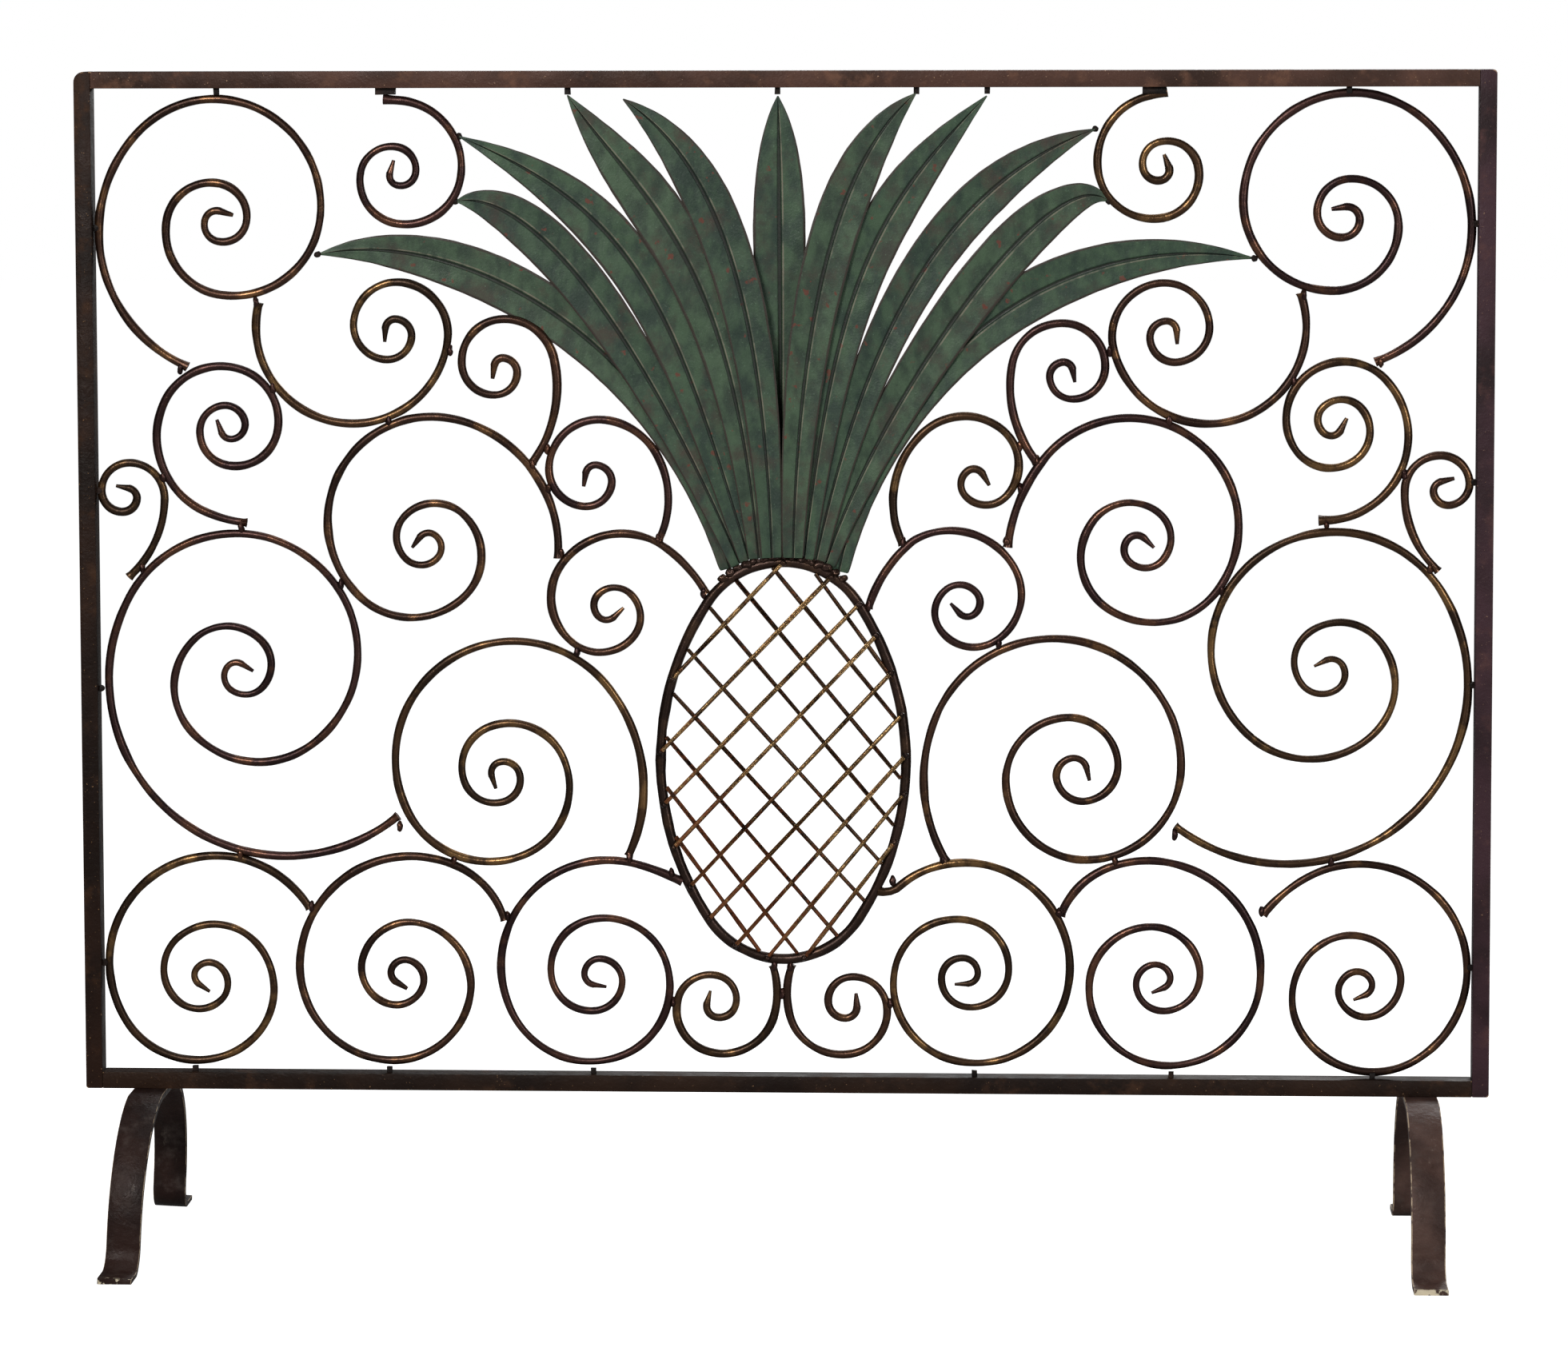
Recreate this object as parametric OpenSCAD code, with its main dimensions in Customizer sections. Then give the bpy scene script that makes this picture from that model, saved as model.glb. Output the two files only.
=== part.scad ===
// Wrought iron fireplace screen: a bar frame on two strap feet, filled with bent rod scrolls,
// with a lattice ring and a fan of eleven leaves standing on it.
// Front is -Y, the origin is on the floor under the middle of the frame.

/* [Frame] */
// Outside width of the frame
frame_w = 1067; // [1067]
// Outside height of the frame, without its feet
frame_h = 775; // [775]
// Width of the frame bar as seen from the front
bar_face = 12.7; // [10:0.1:14]
// Depth of the frame bar from front to back
bar_depth = 19; // [12:0.5:25]
// Radius of the frame's top left corner
corner_r = 8; // [4:0.5:10]

/* [Feet] */
// Height of the frame's underside above the floor
foot_h = 120; // [115:1:130]
// Distance from the frame's middle plane to a toe's end
foot_reach = 150; // [140:1:170]
// Width of the foot's strap
strap_w = 25.4; // [20:0.2:30]
// Thickness of the foot's strap
strap_t = 4.8; // [3:0.1:6]
// Outer radius of the arch's shoulders
shoulder_r = 92; // [80:1:95]

/* [Scrolls] */
// Diameter of the rod that the scrolls are bent from
rod_d = 6.35; // [5:0.05:6.4]
// Length of the drawn point at a scroll's eye
point_l = 10; // [8:1:14]

/* [Ring and lattice] */
// Width of the ring on its rod's centre line
ring_w = 186; // [180:1:188]
// Height of the ring on its rod's centre line
ring_h = 303; // [295:1:305]
// Radius of the ring's narrow ends
ring_end_r = 68; // [60:1:80]
// Diameter of the ring's rod
ring_rod_d = 7.9; // [6:0.1:8]
// Diameter of the lattice rods
lattice_d = 3.2; // [2:0.1:3.4]

/* [Leaves] */
// Thickness of the leaf sheet
leaf_t = 1.2; // [0.8:0.1:1.4]
// Spacing from one layer of leaves to the next
leaf_step = 1.8; // [1.8:0.1:2.2]

/* [Hidden] */
$fn = 48;

frame_brown = "#3a2a22";
foot_black = "#2c2320";
rod_bronze = "#5d4636";
leaf_green = "#4e6a58";
rod_brass = "#8f7a52";

frame_top = foot_h + frame_h;
inner_w = frame_w - 2 * bar_face;
rail_under = frame_top - bar_face;
sill_top = foot_h + bar_face;
low_corner_r = 2;
right_corner_r = 3;

// ---- frame ----

// What is taken off one outer corner of a bar to leave a quarter round of radius r.
// It stands at the origin, with the corner itself at +X and +Z of the round's centre.
module corner_waste(r) {
  difference() {
    translate([0, -bar_depth, 0]) cube([r + 1, 2 * bar_depth, r + 1]);
    rotate([90, 0, 0]) cylinder(r = r, h = 3 * bar_depth, center = true);
  }
}

// One upright bar on the +X side, as high as the frame, with its two outer corners rounded
module stile(top_r) {
  x = frame_w / 2;
  difference() {
    translate([x - bar_face, -bar_depth / 2, foot_h]) cube([bar_face, bar_depth, frame_h]);
    translate([x - top_r, 0, frame_top - top_r]) corner_waste(top_r);
    translate([x - low_corner_r, 0, foot_h + low_corner_r]) rotate([0, 90, 0]) corner_waste(low_corner_r);
  }
}

// One level bar that butts between the stiles, with its underside at z
module rail(z) {
  translate([-inner_w / 2, -bar_depth / 2, z]) cube([inner_w, bar_depth, bar_face]);
}

module left_stile() { color(frame_brown) mirror([1, 0, 0]) stile(corner_r); }
module right_stile() { color(frame_brown) stile(right_corner_r); }
module top_rail() { color(frame_brown) rail(rail_under); }
module bottom_rail() { color(frame_brown) rail(foot_h); }

// ---- feet ----

crown_half = 22;                              // half of the flat stretch that the rail sits on
shin_y = crown_half + shoulder_r;             // front face of the strap where it stands upright
toe_r = 16;                                   // inner radius of the bend above the toe
lean_cut = 0.7;                               // spare height that is cut flat on a leaning foot

// Half of the strap's side view, drawn in X as depth and Y as height
module half_strap() {
  low = -lean_cut;
  high = foot_h + lean_cut;
  shoulder_z = high - shoulder_r;
  toe_z = low + strap_t + toe_r;
  translate([0, high - strap_t]) square([crown_half, strap_t]);
  translate([crown_half, shoulder_z]) intersection() {
    difference() {
      circle(r = shoulder_r, $fn = 144);
      circle(r = shoulder_r - strap_t, $fn = 144);
    }
    square(shoulder_r + 1);
  }
  translate([shin_y - strap_t, toe_z]) square([strap_t, shoulder_z - toe_z]);
  translate([shin_y + toe_r, toe_z]) intersection() {
    difference() {
      circle(r = toe_r + strap_t);
      circle(r = toe_r);
    }
    translate([-toe_r - strap_t - 1, -toe_r - strap_t - 1]) square(toe_r + strap_t + 1);
  }
  translate([shin_y + toe_r, low]) square([foot_reach - shin_y - toe_r, strap_t]);
}

// One arched strap whose crown is at x; it leans by the given angle and its toes are flat on the floor
module foot(x, lean) {
  intersection() {
    translate([x, 0, foot_h]) rotate([0, lean, 0]) translate([strap_w / 2, 0, -foot_h])
      rotate([90, 0, -90]) linear_extrude(strap_w) {
        half_strap();
        mirror([1, 0]) half_strap();
      }
    translate([x - 50, -foot_reach - 1, 0]) cube([100, 2 * foot_reach + 2, foot_h]);
  }
}

module left_foot() { color(foot_black) foot(-484, 3); }
module right_foot() { color(foot_black) foot(482, 0); }

// ---- ring and lattice ----

ring_z = 373;
ring_side_x = ring_w / 2;
ring_end_z = ring_h / 2 - ring_end_r;
ring_side_r = (pow(ring_side_x, 2) + pow(ring_end_z, 2) - pow(ring_end_r, 2)) / (2 * (ring_side_x - ring_end_r));
ring_side_out = ring_side_r - ring_side_x;
ring_joint = atan2(ring_end_z, ring_side_out);

// Distance of point p, measured from the ring's centre, outside the ring's centre line
function ring_gap(p) = let(q = [abs(p[0]), abs(p[1])])
  atan2(q[1], q[0] + ring_side_out) > ring_joint
    ? norm(q - [0, ring_end_z]) - ring_end_r
    : norm(q + [ring_side_out, 0]) - ring_side_r;

// How far along direction u from point p the line comes within `inside` of the ring
function reach(p, u, inside, near = 0, far = 200, i = 0) = let(mid = (near + far) / 2)
  i == 24 ? mid
    : ring_gap(p + mid * u) < -inside ? reach(p, u, inside, mid, far, i + 1)
    : reach(p, u, inside, near, mid, i + 1);

// An arc of rod around the Y axis, from the angle `from` anticlockwise as seen from the front
module rod_arc(r, from, sweep, d) {
  rotate([90, 0, 0]) rotate([0, 0, from]) rotate_extrude(angle = sweep, convexity = 4)
    translate([r, 0]) circle(d = d, $fn = 32);
}

// Two flat sides and two round ends, the ends a little thicker and let into the sides
module ring() {
  lap = 0.5;
  color(rod_bronze) translate([0, 0, ring_z]) for (half = [0, 180]) rotate([0, half, 0]) {
    translate([-ring_side_out, 0, 0]) rod_arc(ring_side_r, -ring_joint, 2 * ring_joint, ring_rod_d);
    translate([0, 0, ring_end_z])
      rod_arc(ring_end_r, ring_joint - lap, 180 - 2 * ring_joint + 2 * lap, ring_rod_d + 0.06);
  }
}

// Slope of each lattice rod in degrees and its distance from the ring's centre, from the upper
// left to the lower right for the front layer, and from the upper right down for the back one
front_rods = [[46.5, 104], [46, 71.5], [46, 42], [46.5, 15], [47, -13.5], [47, -41],
  [48.5, -66], [50.5, -86], [52.5, -104]];
back_rods = [[-54, 104], [-51, 87], [-50.5, 60.5], [-50, 33], [-48, 3.5], [-47.5, -26.5],
  [-49.5, -55.5], [-52, -82], [-54, -100]];
front_y = -(ring_rod_d + lattice_d) / 2;
back_y = front_y + lattice_d;

function rod_dir(rod) = [cos(rod[0]), sin(rod[0])];
function rod_mid(rod) = rod[1] * [-sin(rod[0]), cos(rod[0])];
function rod_end(rod, way, inside) =
  rod_mid(rod) + way * reach(rod_mid(rod), way * rod_dir(rod), inside) * rod_dir(rod);

// One straight rod that stops `inside` short of the ring's centre line at both ends
module lattice_rod(rod, y, inside) {
  low = rod_end(rod, -1, inside);
  high = rod_end(rod, 1, inside);
  translate([low[0], y, ring_z + low[1]]) rotate([0, 90 - rod[0], 0])
    cylinder(d = lattice_d, h = norm(high - low), $fn = 24);
}

module lattice_front() { color(rod_brass) for (rod = front_rods) lattice_rod(rod, front_y, 0); }
module lattice_back() { color(rod_brass) for (rod = back_rods) lattice_rod(rod, back_y, 3.6); }

// A bead over each end of a front rod, on the ring
module lattice_welds() {
  color(rod_bronze) for (rod = front_rods, way = [-1, 1]) {
    p = rod_end(rod, way, 0);
    translate([p[0], front_y - 0.3, ring_z + p[1]]) sphere(d = 5, $fn = 20);
  }
}

// ---- scrolls ----

bend_step = 90;                               // the eye's spiral is bent this many degrees at a time
draw_down = 0.1;                              // each bend is drawn this much thinner than the last
plug = 1;                                     // length by which a bend starts inside the last one
point_d = 2.6;                                // diameter of a drawn point at its very end

// The bends of a scroll, each a radius and an angle: the long opening arcs, then a spiral whose
// radius closes from `wide` to `eye`. A larger ease holds it open longer.
function spiral(turn, wide, eye, ease) = let(n = round(turn / bend_step))
  [for (i = [0 : n - 1]) [wide * pow(eye / wide, pow((i + 0.5) / n, ease)), turn / n]];

// One bend that leaves the origin along +X and turns up (way 1) or down (way -1)
module bend(r, angle, way, d, lap) {
  translate([0, 0, way * r]) rod_arc(r, way > 0 ? -90 - lap : 90 - angle, angle + lap, d);
}

// The bends from number i on, then the drawn point
module bends(list, way, p, heading, i = 0) {
  r = list[i][0];
  angle = list[i][1];
  d = rod_d - i * draw_down;
  turned = heading + way * angle;
  centre = p + way * r * [-sin(heading), cos(heading)];
  next = centre + way * r * [sin(turned), -cos(turned)];
  translate([p[0], 0, p[1]]) rotate([0, -heading, 0])
    bend(r, angle, way, d, i == 0 ? 0 : plug / r * 180 / PI);
  if (i < len(list) - 1) bends(list, way, next, turned, i + 1);
  else translate([next[0], 0, next[1]]) rotate([0, 90 - turned, 0]) translate([0, 0, -plug])
    cylinder(d1 = d - draw_down, d2 = point_d, h = point_l + plug, $fn = 32);
}

// A whole scroll in the middle plane. `at` is its welded end, `heading` is the way it sets off
// (0 is +X and 90 is up) and `way` is 1 where it curls anticlockwise as seen from the front.
module scroll(at, heading, way, lead, turn, wide, eye, ease) {
  bends(concat(lead, spiral(turn, wide, eye, ease)), way, at, heading);
}

// The right half is laid out as the left one, and mirrored
module on_right() { mirror([1, 0, 0]) children(); }

// Hooked under the top rail and leaning on the stile
module left_corner_scroll() {
  color(rod_bronze) scroll(at = [-457, 675], heading = 153, way = -1,
    lead = [[110, 108], [80, 141]], turn = 640, wide = 79, eye = 8, ease = 1);
}
module right_corner_scroll() {
  color(rod_bronze) on_right() scroll(at = [-451, 679], heading = 157, way = -1,
    lead = [[107, 115], [81, 132]], turn = 640, wide = 79, eye = 8, ease = 1);
}

// Hanging from a block under the top rail
module left_top_scroll() {
  color(rod_bronze) scroll(at = [-288, 873], heading = -4, way = -1,
    lead = [[50, 93]], turn = 550, wide = 46, eye = 6, ease = 1.3);
}
module right_top_scroll() {
  color(rod_bronze) on_right() scroll(at = [-277, 876], heading = -11, way = -1,
    lead = [[50, 90]], turn = 550, wide = 45, eye = 6, ease = 1.3);
}

// Hanging from the corner scroll
module left_upper_scroll() {
  color(rod_bronze) scroll(at = [-397, 716], heading = -101, way = 1,
    lead = [[73, 183]], turn = 545, wide = 40, eye = 6, ease = 1.7);
}
module right_upper_scroll() {
  color(rod_bronze) on_right() scroll(at = [-390, 724], heading = -107, way = 1,
    lead = [[73, 185]], turn = 550, wide = 41, eye = 6, ease = 1.7);
}

// Under the leaves
module left_leaf_scroll() {
  color(rod_bronze) scroll(at = [-187, 603], heading = 56, way = 1,
    lead = [[98, 46]], turn = 520, wide = 39, eye = 5, ease = 1.7);
}
module right_leaf_scroll() {
  color(rod_bronze) on_right() scroll(at = [-189, 604], heading = 54, way = 1,
    lead = [[92, 46]], turn = 520, wide = 39, eye = 5, ease = 1.7);
}

// Standing on the great scroll
module left_side_scroll() {
  color(rod_bronze) scroll(at = [-411, 554], heading = 173, way = -1,
    lead = [[90, 20], [62, 88]], turn = 675, wide = 51, eye = 7, ease = 1.3);
}
module right_side_scroll() {
  color(rod_bronze) on_right() scroll(at = [-408, 557], heading = 179, way = -1,
    lead = [[63, 132], [43, 165]], turn = 485, wide = 33, eye = 6, ease = 1.7);
}

// The small curl against the stile
module left_stile_curl() {
  color(rod_bronze) scroll(at = [-494, 515], heading = 44, way = 1,
    lead = [[81, 45]], turn = 440, wide = 28, eye = 6, ease = 1.5);
}
module right_stile_curl() {
  color(rod_bronze) on_right() scroll(at = [-490, 522], heading = 46, way = 1,
    lead = [[80, 46]], turn = 435, wide = 28, eye = 6, ease = 1.5);
}

// Beside the leaves, on the ring scroll
module left_centre_scroll() {
  color(rod_bronze) scroll(at = [-170, 535], heading = 90, way = 1,
    lead = [[100, 76], [80, 147]], turn = 640, wide = 65, eye = 7, ease = 1.1);
}
module right_centre_scroll() {
  color(rod_bronze) on_right() scroll(at = [-171, 544], heading = 99, way = 1,
    lead = [[126, 30], [82, 176]], turn = 640, wide = 66, eye = 7, ease = 1.2);
}

// The largest scroll, in the middle of each side
module left_great_scroll() {
  color(rod_bronze) scroll(at = [-297, 327], heading = -142, way = -1,
    lead = [[134, 157], [93, 118]], turn = 695, wide = 97, eye = 7, ease = 1.2);
}
module right_great_scroll() {
  color(rod_bronze) on_right() scroll(at = [-300, 322], heading = -144, way = -1,
    lead = [[136, 158], [94, 111]], turn = 695, wide = 95, eye = 8, ease = 1.2);
}

// Beside the ring
module left_lower_scroll() {
  color(rod_bronze) scroll(at = [-116, 304], heading = 67, way = 1,
    lead = [[124, 61], [91, 165]], turn = 715, wide = 74, eye = 7, ease = 1.3);
}
module right_lower_scroll() {
  color(rod_bronze) on_right() scroll(at = [-121, 301], heading = 62, way = 1,
    lead = [[125, 51], [96, 159]], turn = 705, wide = 75, eye = 8, ease = 1.4);
}

// From the ring's shoulder up to the centre scroll
module left_ring_scroll() {
  color(rod_bronze) scroll(at = [-60, 504], heading = 121, way = 1,
    lead = [[106, 23]], turn = 620, wide = 62, eye = 7, ease = 1.2);
}
module right_ring_scroll() {
  color(rod_bronze) on_right() scroll(at = [-66, 494], heading = 109, way = 1,
    lead = [[105, 30], [27, 14]], turn = 615, wide = 62, eye = 7, ease = 1.1);
}

// Under the lowest leaf
module left_shoulder_scroll() {
  color(rod_bronze) scroll(at = [-92, 545], heading = 67, way = 1,
    lead = [[70, 51], [51, 58]], turn = 445, wide = 41, eye = 6, ease = 1.4);
}
module right_shoulder_scroll() {
  color(rod_bronze) on_right() scroll(at = [-89, 542], heading = 67, way = 1,
    lead = [[72, 71], [45, 77]], turn = 385, wide = 45, eye = 6, ease = 1);
}

// The row that stands on the bottom rail, from the stile to the middle
module left_base_outer() {
  color(rod_bronze) scroll(at = [-364, 262], heading = 124, way = 1,
    lead = [[83, 134], [85, 42]], turn = 745, wide = 67, eye = 7, ease = 1.4);
}
module left_base_middle() {
  color(rod_bronze) scroll(at = [-214, 254], heading = 109, way = 1,
    lead = [[63, 45], [86, 114]], turn = 780, wide = 76, eye = 7, ease = 1.3);
}
module left_base_inner() {
  color(rod_bronze) scroll(at = [-85, 284], heading = 156, way = 1,
    lead = [[198, 8], [82, 132]], turn = 775, wide = 68, eye = 7, ease = 1.5);
}
module left_base_curl() {
  color(rod_bronze) scroll(at = [-7, 212], heading = -76, way = -1,
    lead = [[67, 29]], turn = 540, wide = 43, eye = 7, ease = 1.4);
}
module right_base_outer() {
  color(rod_bronze) on_right() scroll(at = [-366, 261], heading = 130, way = 1,
    lead = [[108, 22], [81, 175]], turn = 730, wide = 68, eye = 7, ease = 1.2);
}
module right_base_middle() {
  color(rod_bronze) on_right() scroll(at = [-212, 260], heading = 114, way = 1,
    lead = [[62, 46], [85, 117]], turn = 780, wide = 74, eye = 7, ease = 1.3);
}
module right_base_inner() {
  color(rod_bronze) on_right() scroll(at = [-86, 276], heading = 137, way = 1,
    lead = [[74, 36], [80, 114]], turn = 790, wide = 75, eye = 7, ease = 1.3);
}
module right_base_curl() {
  color(rod_bronze) on_right() scroll(at = [-5, 213], heading = -74, way = -1,
    lead = [[66, 30]], turn = 530, wide = 43, eye = 7, ease = 1.4);
}

// ---- leaves ----

leaf_steps = 24;                              // stretches that each side of a leaf is drawn in
leaf_back_y = 3;                              // back face of the rearmost leaf
root_half = 8;                                // half of a leaf's width at its root
tip_half = 0.5;                               // half of its width at its tip
belly_at = 0.6;                               // where along its length it is widest

// A point at t along a curve from a to d, pulled towards b and c
function along(a, b, c, d, t) = pow(1 - t, 3) * a + 3 * pow(1 - t, 2) * t * b + 3 * (1 - t) * t * t * c + t * t * t * d;

// Half width at t of one side that is `half` wide at the belly
function leaf_half(half, t) = t < belly_at
  ? root_half + (half - root_half) * sin(90 * t / belly_at)
  : tip_half + (half - tip_half) * (1 - pow((t - belly_at) / (1 - belly_at), 2));

// A thin pointed leaf. `left` and `right` are the half widths of its two sides at the belly, as
// seen by someone walking from root to tip. `layer` counts forward from the rearmost leaf.
module leaf(root, low_pull, high_pull, tip, left, right, layer) {
  function rib(t) = along(root, low_pull, high_pull, tip, t);
  function side(t, half) = let(v = rib(min(t + 0.01, 1)) - rib(max(t - 0.01, 0)))
    rib(t) + [-v[1], v[0]] / norm(v) * half;
  steps = [for (k = [0 : leaf_steps]) k / leaf_steps];
  outline = concat(
    [for (t = steps) side(t, leaf_half(left, t))],
    [for (t = steps) side(1 - t, -leaf_half(right, 1 - t))]
  );
  translate([0, leaf_back_y - layer * leaf_step, 0]) rotate([90, 0, 0])
    linear_extrude(leaf_t) polygon(outline);
}

module leaf_centre() {
  color(leaf_green) leaf([-1, 528], [-2, 685], [-2, 819], [-3, 876], 20, 20, layer = 0);
}
module leaf_left_1() {
  color(leaf_green) leaf([-40, 519], [-86, 699], [-248, 781], [-351, 757], 20, 18, layer = 1);
}
module leaf_left_2() {
  color(leaf_green) leaf([-32, 523], [-120, 718], [-199, 802], [-246, 797], 15, 22, layer = 2);
}
module leaf_left_3() {
  color(leaf_green) leaf([-25, 526], [-83, 719], [-109, 790], [-243, 846], 19, 19, layer = 3);
}
module leaf_left_4() {
  color(leaf_green) leaf([-18, 527], [-37, 765], [-102, 795], [-161, 877], 22, 19, layer = 4);
}
module leaf_left_5() {
  color(leaf_green) leaf([-8, 528], [-14, 721], [-48, 827], [-119, 874], 18, 18, layer = 5);
}
module leaf_right_1() {
  color(leaf_green) leaf([42, 517], [72, 672], [205, 778], [354, 754], 20, 18, layer = 1);
}
module leaf_right_2() {
  color(leaf_green) leaf([32, 523], [72, 646], [205, 832], [245, 797], 20, 18, layer = 2);
}
module leaf_right_3() {
  color(leaf_green) leaf([25, 526], [69, 733], [143, 817], [235, 851], 18, 17, layer = 3);
}
module leaf_right_4() {
  color(leaf_green) leaf([16, 527], [38, 740], [65, 794], [154, 876], 15, 21, layer = 4);
}
module leaf_right_5() {
  color(leaf_green) leaf([8, 528], [12, 715], [43, 830], [101, 878], 18, 18, layer = 6);
}

// ---- welds and lugs ----

// Where two scrolls, or a scroll and the ring, are welded side by side or end to side
left_welds = [[-398, 721], [-456, 671], [-251, 685], [-386, 656], [-298, 631], [-189, 599], [-178, 610],
  [-470, 588], [-411, 550], [-487, 519], [-335, 507], [-168, 531], [-177, 580], [-292, 322], [-414, 300],
  [-156, 456], [-251, 296], [-117, 299], [-94, 542], [-360, 260], [-210, 253], [-84, 188], [-60, 501],
  [-85, 287], [-7, 216]];
right_welds = [[391, 727], [449, 676], [246, 684], [384, 662], [291, 632], [192, 602], [179, 613],
  [467, 592], [409, 554], [487, 521], [331, 504], [169, 541], [179, 581], [296, 318], [414, 298],
  [163, 462], [251, 298], [121, 298], [91, 540], [362, 260], [209, 258], [81, 188], [65, 492],
  [83, 282], [5, 216]];

// One bead laid on the front of a joint
module bead(x, z, d = 6.5) { translate([x, -1.5, z]) sphere(d = d, $fn = 20); }

module scroll_welds() {
  color(rod_bronze) {
    for (p = concat(left_welds, right_welds)) bead(p[0], p[1]);
    bead(-1, 195);
  }
}

// Lugs that hold the scrolls off the frame: low ones on the stiles and the bottom rail, one at
// each corner scroll under the top rail, and a block above each top scroll
stile_lugs = [[-1, 777], [-1, 578], [-1, 427], [-1, 216], [1, 780], [1, 586], [1, 433], [1, 218]];
sill_lugs = [-450, -301, -145, 145, 294, 446];
lug_w = 4;
module frame_lugs() {
  color(frame_brown) {
    for (lug = stile_lugs) translate([lug[0] * (inner_w / 2 - 1.5), -2, lug[1]])
      rotate([90, 0, 0]) cylinder(d = 5, h = 3, center = true, $fn = 24);
    for (x = sill_lugs) translate([x - lug_w / 2, -5, sill_top]) cube([lug_w, 4, 4.5]);
    for (x = [-426, 424]) translate([x - lug_w / 2, -5, rail_under - 5]) cube([lug_w, 4, 5]);
    translate([-306, -4, rail_under - 5]) cube([15, 8, 5]);
    translate([270, -4, rail_under - 5]) cube([18, 8, 5]);
  }
}

// Dots that hold the leaves: tips that reach the top rail, tips on the corner and top scrolls
module leaf_lugs() {
  color(foot_black) {
    for (x = [-161, -3, 101, 154]) translate([x - 2, -4, rail_under - 5]) cube([4, 6, 5]);
    for (p = [[-351, 757], [354, 754], [-243, 846], [235, 851], [-246, 797], [245, 797]])
      translate([p[0], 0, p[1]]) sphere(d = 5, $fn = 20);
  }
}

// The lumpy run of beads that ties the leaves' roots to the top of the ring
bead_count = 15;
module root_beads() {
  r = ring_end_r + 4;
  color(rod_bronze) translate([0, -2.5, ring_z + ring_end_z]) for (k = [0 : bead_count - 1]) {
    a = 90 + 78 * (k / (bead_count - 1) - 0.5);
    translate([r * cos(a), 0, r * sin(a)]) sphere(d = 5.8 + 0.4 * (k % 3), $fn = 20);
  }
}

left_stile();
right_stile();
top_rail();
bottom_rail();
left_foot();
right_foot();
ring();
lattice_front();
lattice_back();
left_corner_scroll();
left_top_scroll();
left_upper_scroll();
left_leaf_scroll();
left_side_scroll();
left_stile_curl();
left_centre_scroll();
left_great_scroll();
left_lower_scroll();
left_ring_scroll();
left_shoulder_scroll();
left_base_outer();
left_base_middle();
left_base_inner();
left_base_curl();
right_corner_scroll();
right_top_scroll();
right_upper_scroll();
right_leaf_scroll();
right_side_scroll();
right_stile_curl();
right_centre_scroll();
right_great_scroll();
right_lower_scroll();
right_ring_scroll();
right_shoulder_scroll();
right_base_outer();
right_base_middle();
right_base_inner();
right_base_curl();
leaf_centre();
leaf_left_1();
leaf_left_2();
leaf_left_3();
leaf_left_4();
leaf_left_5();
leaf_right_1();
leaf_right_2();
leaf_right_3();
leaf_right_4();
leaf_right_5();
scroll_welds();
frame_lugs();
leaf_lugs();
root_beads();
lattice_welds();
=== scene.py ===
import math
import bpy
import bmesh
from mathutils import Matrix, Vector


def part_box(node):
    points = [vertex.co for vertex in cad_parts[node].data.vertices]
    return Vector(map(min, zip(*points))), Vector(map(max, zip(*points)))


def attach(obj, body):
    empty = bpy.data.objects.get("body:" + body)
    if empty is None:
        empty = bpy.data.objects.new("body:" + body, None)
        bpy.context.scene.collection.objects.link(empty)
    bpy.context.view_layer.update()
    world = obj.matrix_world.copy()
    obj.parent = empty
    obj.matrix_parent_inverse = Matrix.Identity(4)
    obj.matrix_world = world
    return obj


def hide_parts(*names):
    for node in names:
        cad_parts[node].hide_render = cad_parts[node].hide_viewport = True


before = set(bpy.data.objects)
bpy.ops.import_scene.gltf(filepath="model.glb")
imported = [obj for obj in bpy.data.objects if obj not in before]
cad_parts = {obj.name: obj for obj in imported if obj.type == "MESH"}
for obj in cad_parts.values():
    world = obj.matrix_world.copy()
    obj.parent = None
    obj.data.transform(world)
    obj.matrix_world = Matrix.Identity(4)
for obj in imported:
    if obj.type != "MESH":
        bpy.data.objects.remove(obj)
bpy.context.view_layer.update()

# ---- frame ----
# Four square wrought bars butted and welded into a rectangle, stiles outside the rails.
# Each is cut from flat-sided stock whose edges were knocked off with a file; the outer
# corners are ground round, most at the top left. Dark brown lacquer, worn through at the edges;
# the pale bare colour on the filed edges also stands in for painted highlights along them.


def deselect():
    if bpy.context.object and bpy.context.object.mode != "OBJECT":
        bpy.ops.object.mode_set(mode="OBJECT")
    bpy.ops.object.select_all(action="DESELECT")


def take(obj):
    deselect()
    obj.select_set(True)
    bpy.context.view_layer.objects.active = obj


def apply_modifier(obj, name, kind, **settings):
    take(obj)
    modifier = obj.modifiers.new(name, kind)
    for key, value in settings.items():
        setattr(modifier, key, value)
    bpy.ops.object.modifier_apply(modifier=name)


def fix_on(obj, nodes, slot, material):
    obj.data.materials.clear()
    obj.data.materials.append(material)
    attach(obj, "root")
    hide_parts(*nodes)


def lacquer_tone(code):
    parts = [int(code[i:i + 2], 16) / 255 for i in (0, 2, 4)]
    linear = [c / 12.92 if c <= 0.04045 else ((c + 0.055) / 1.055) ** 2.4 for c in parts]
    return (linear[0], linear[1], linear[2], 1)


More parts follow.
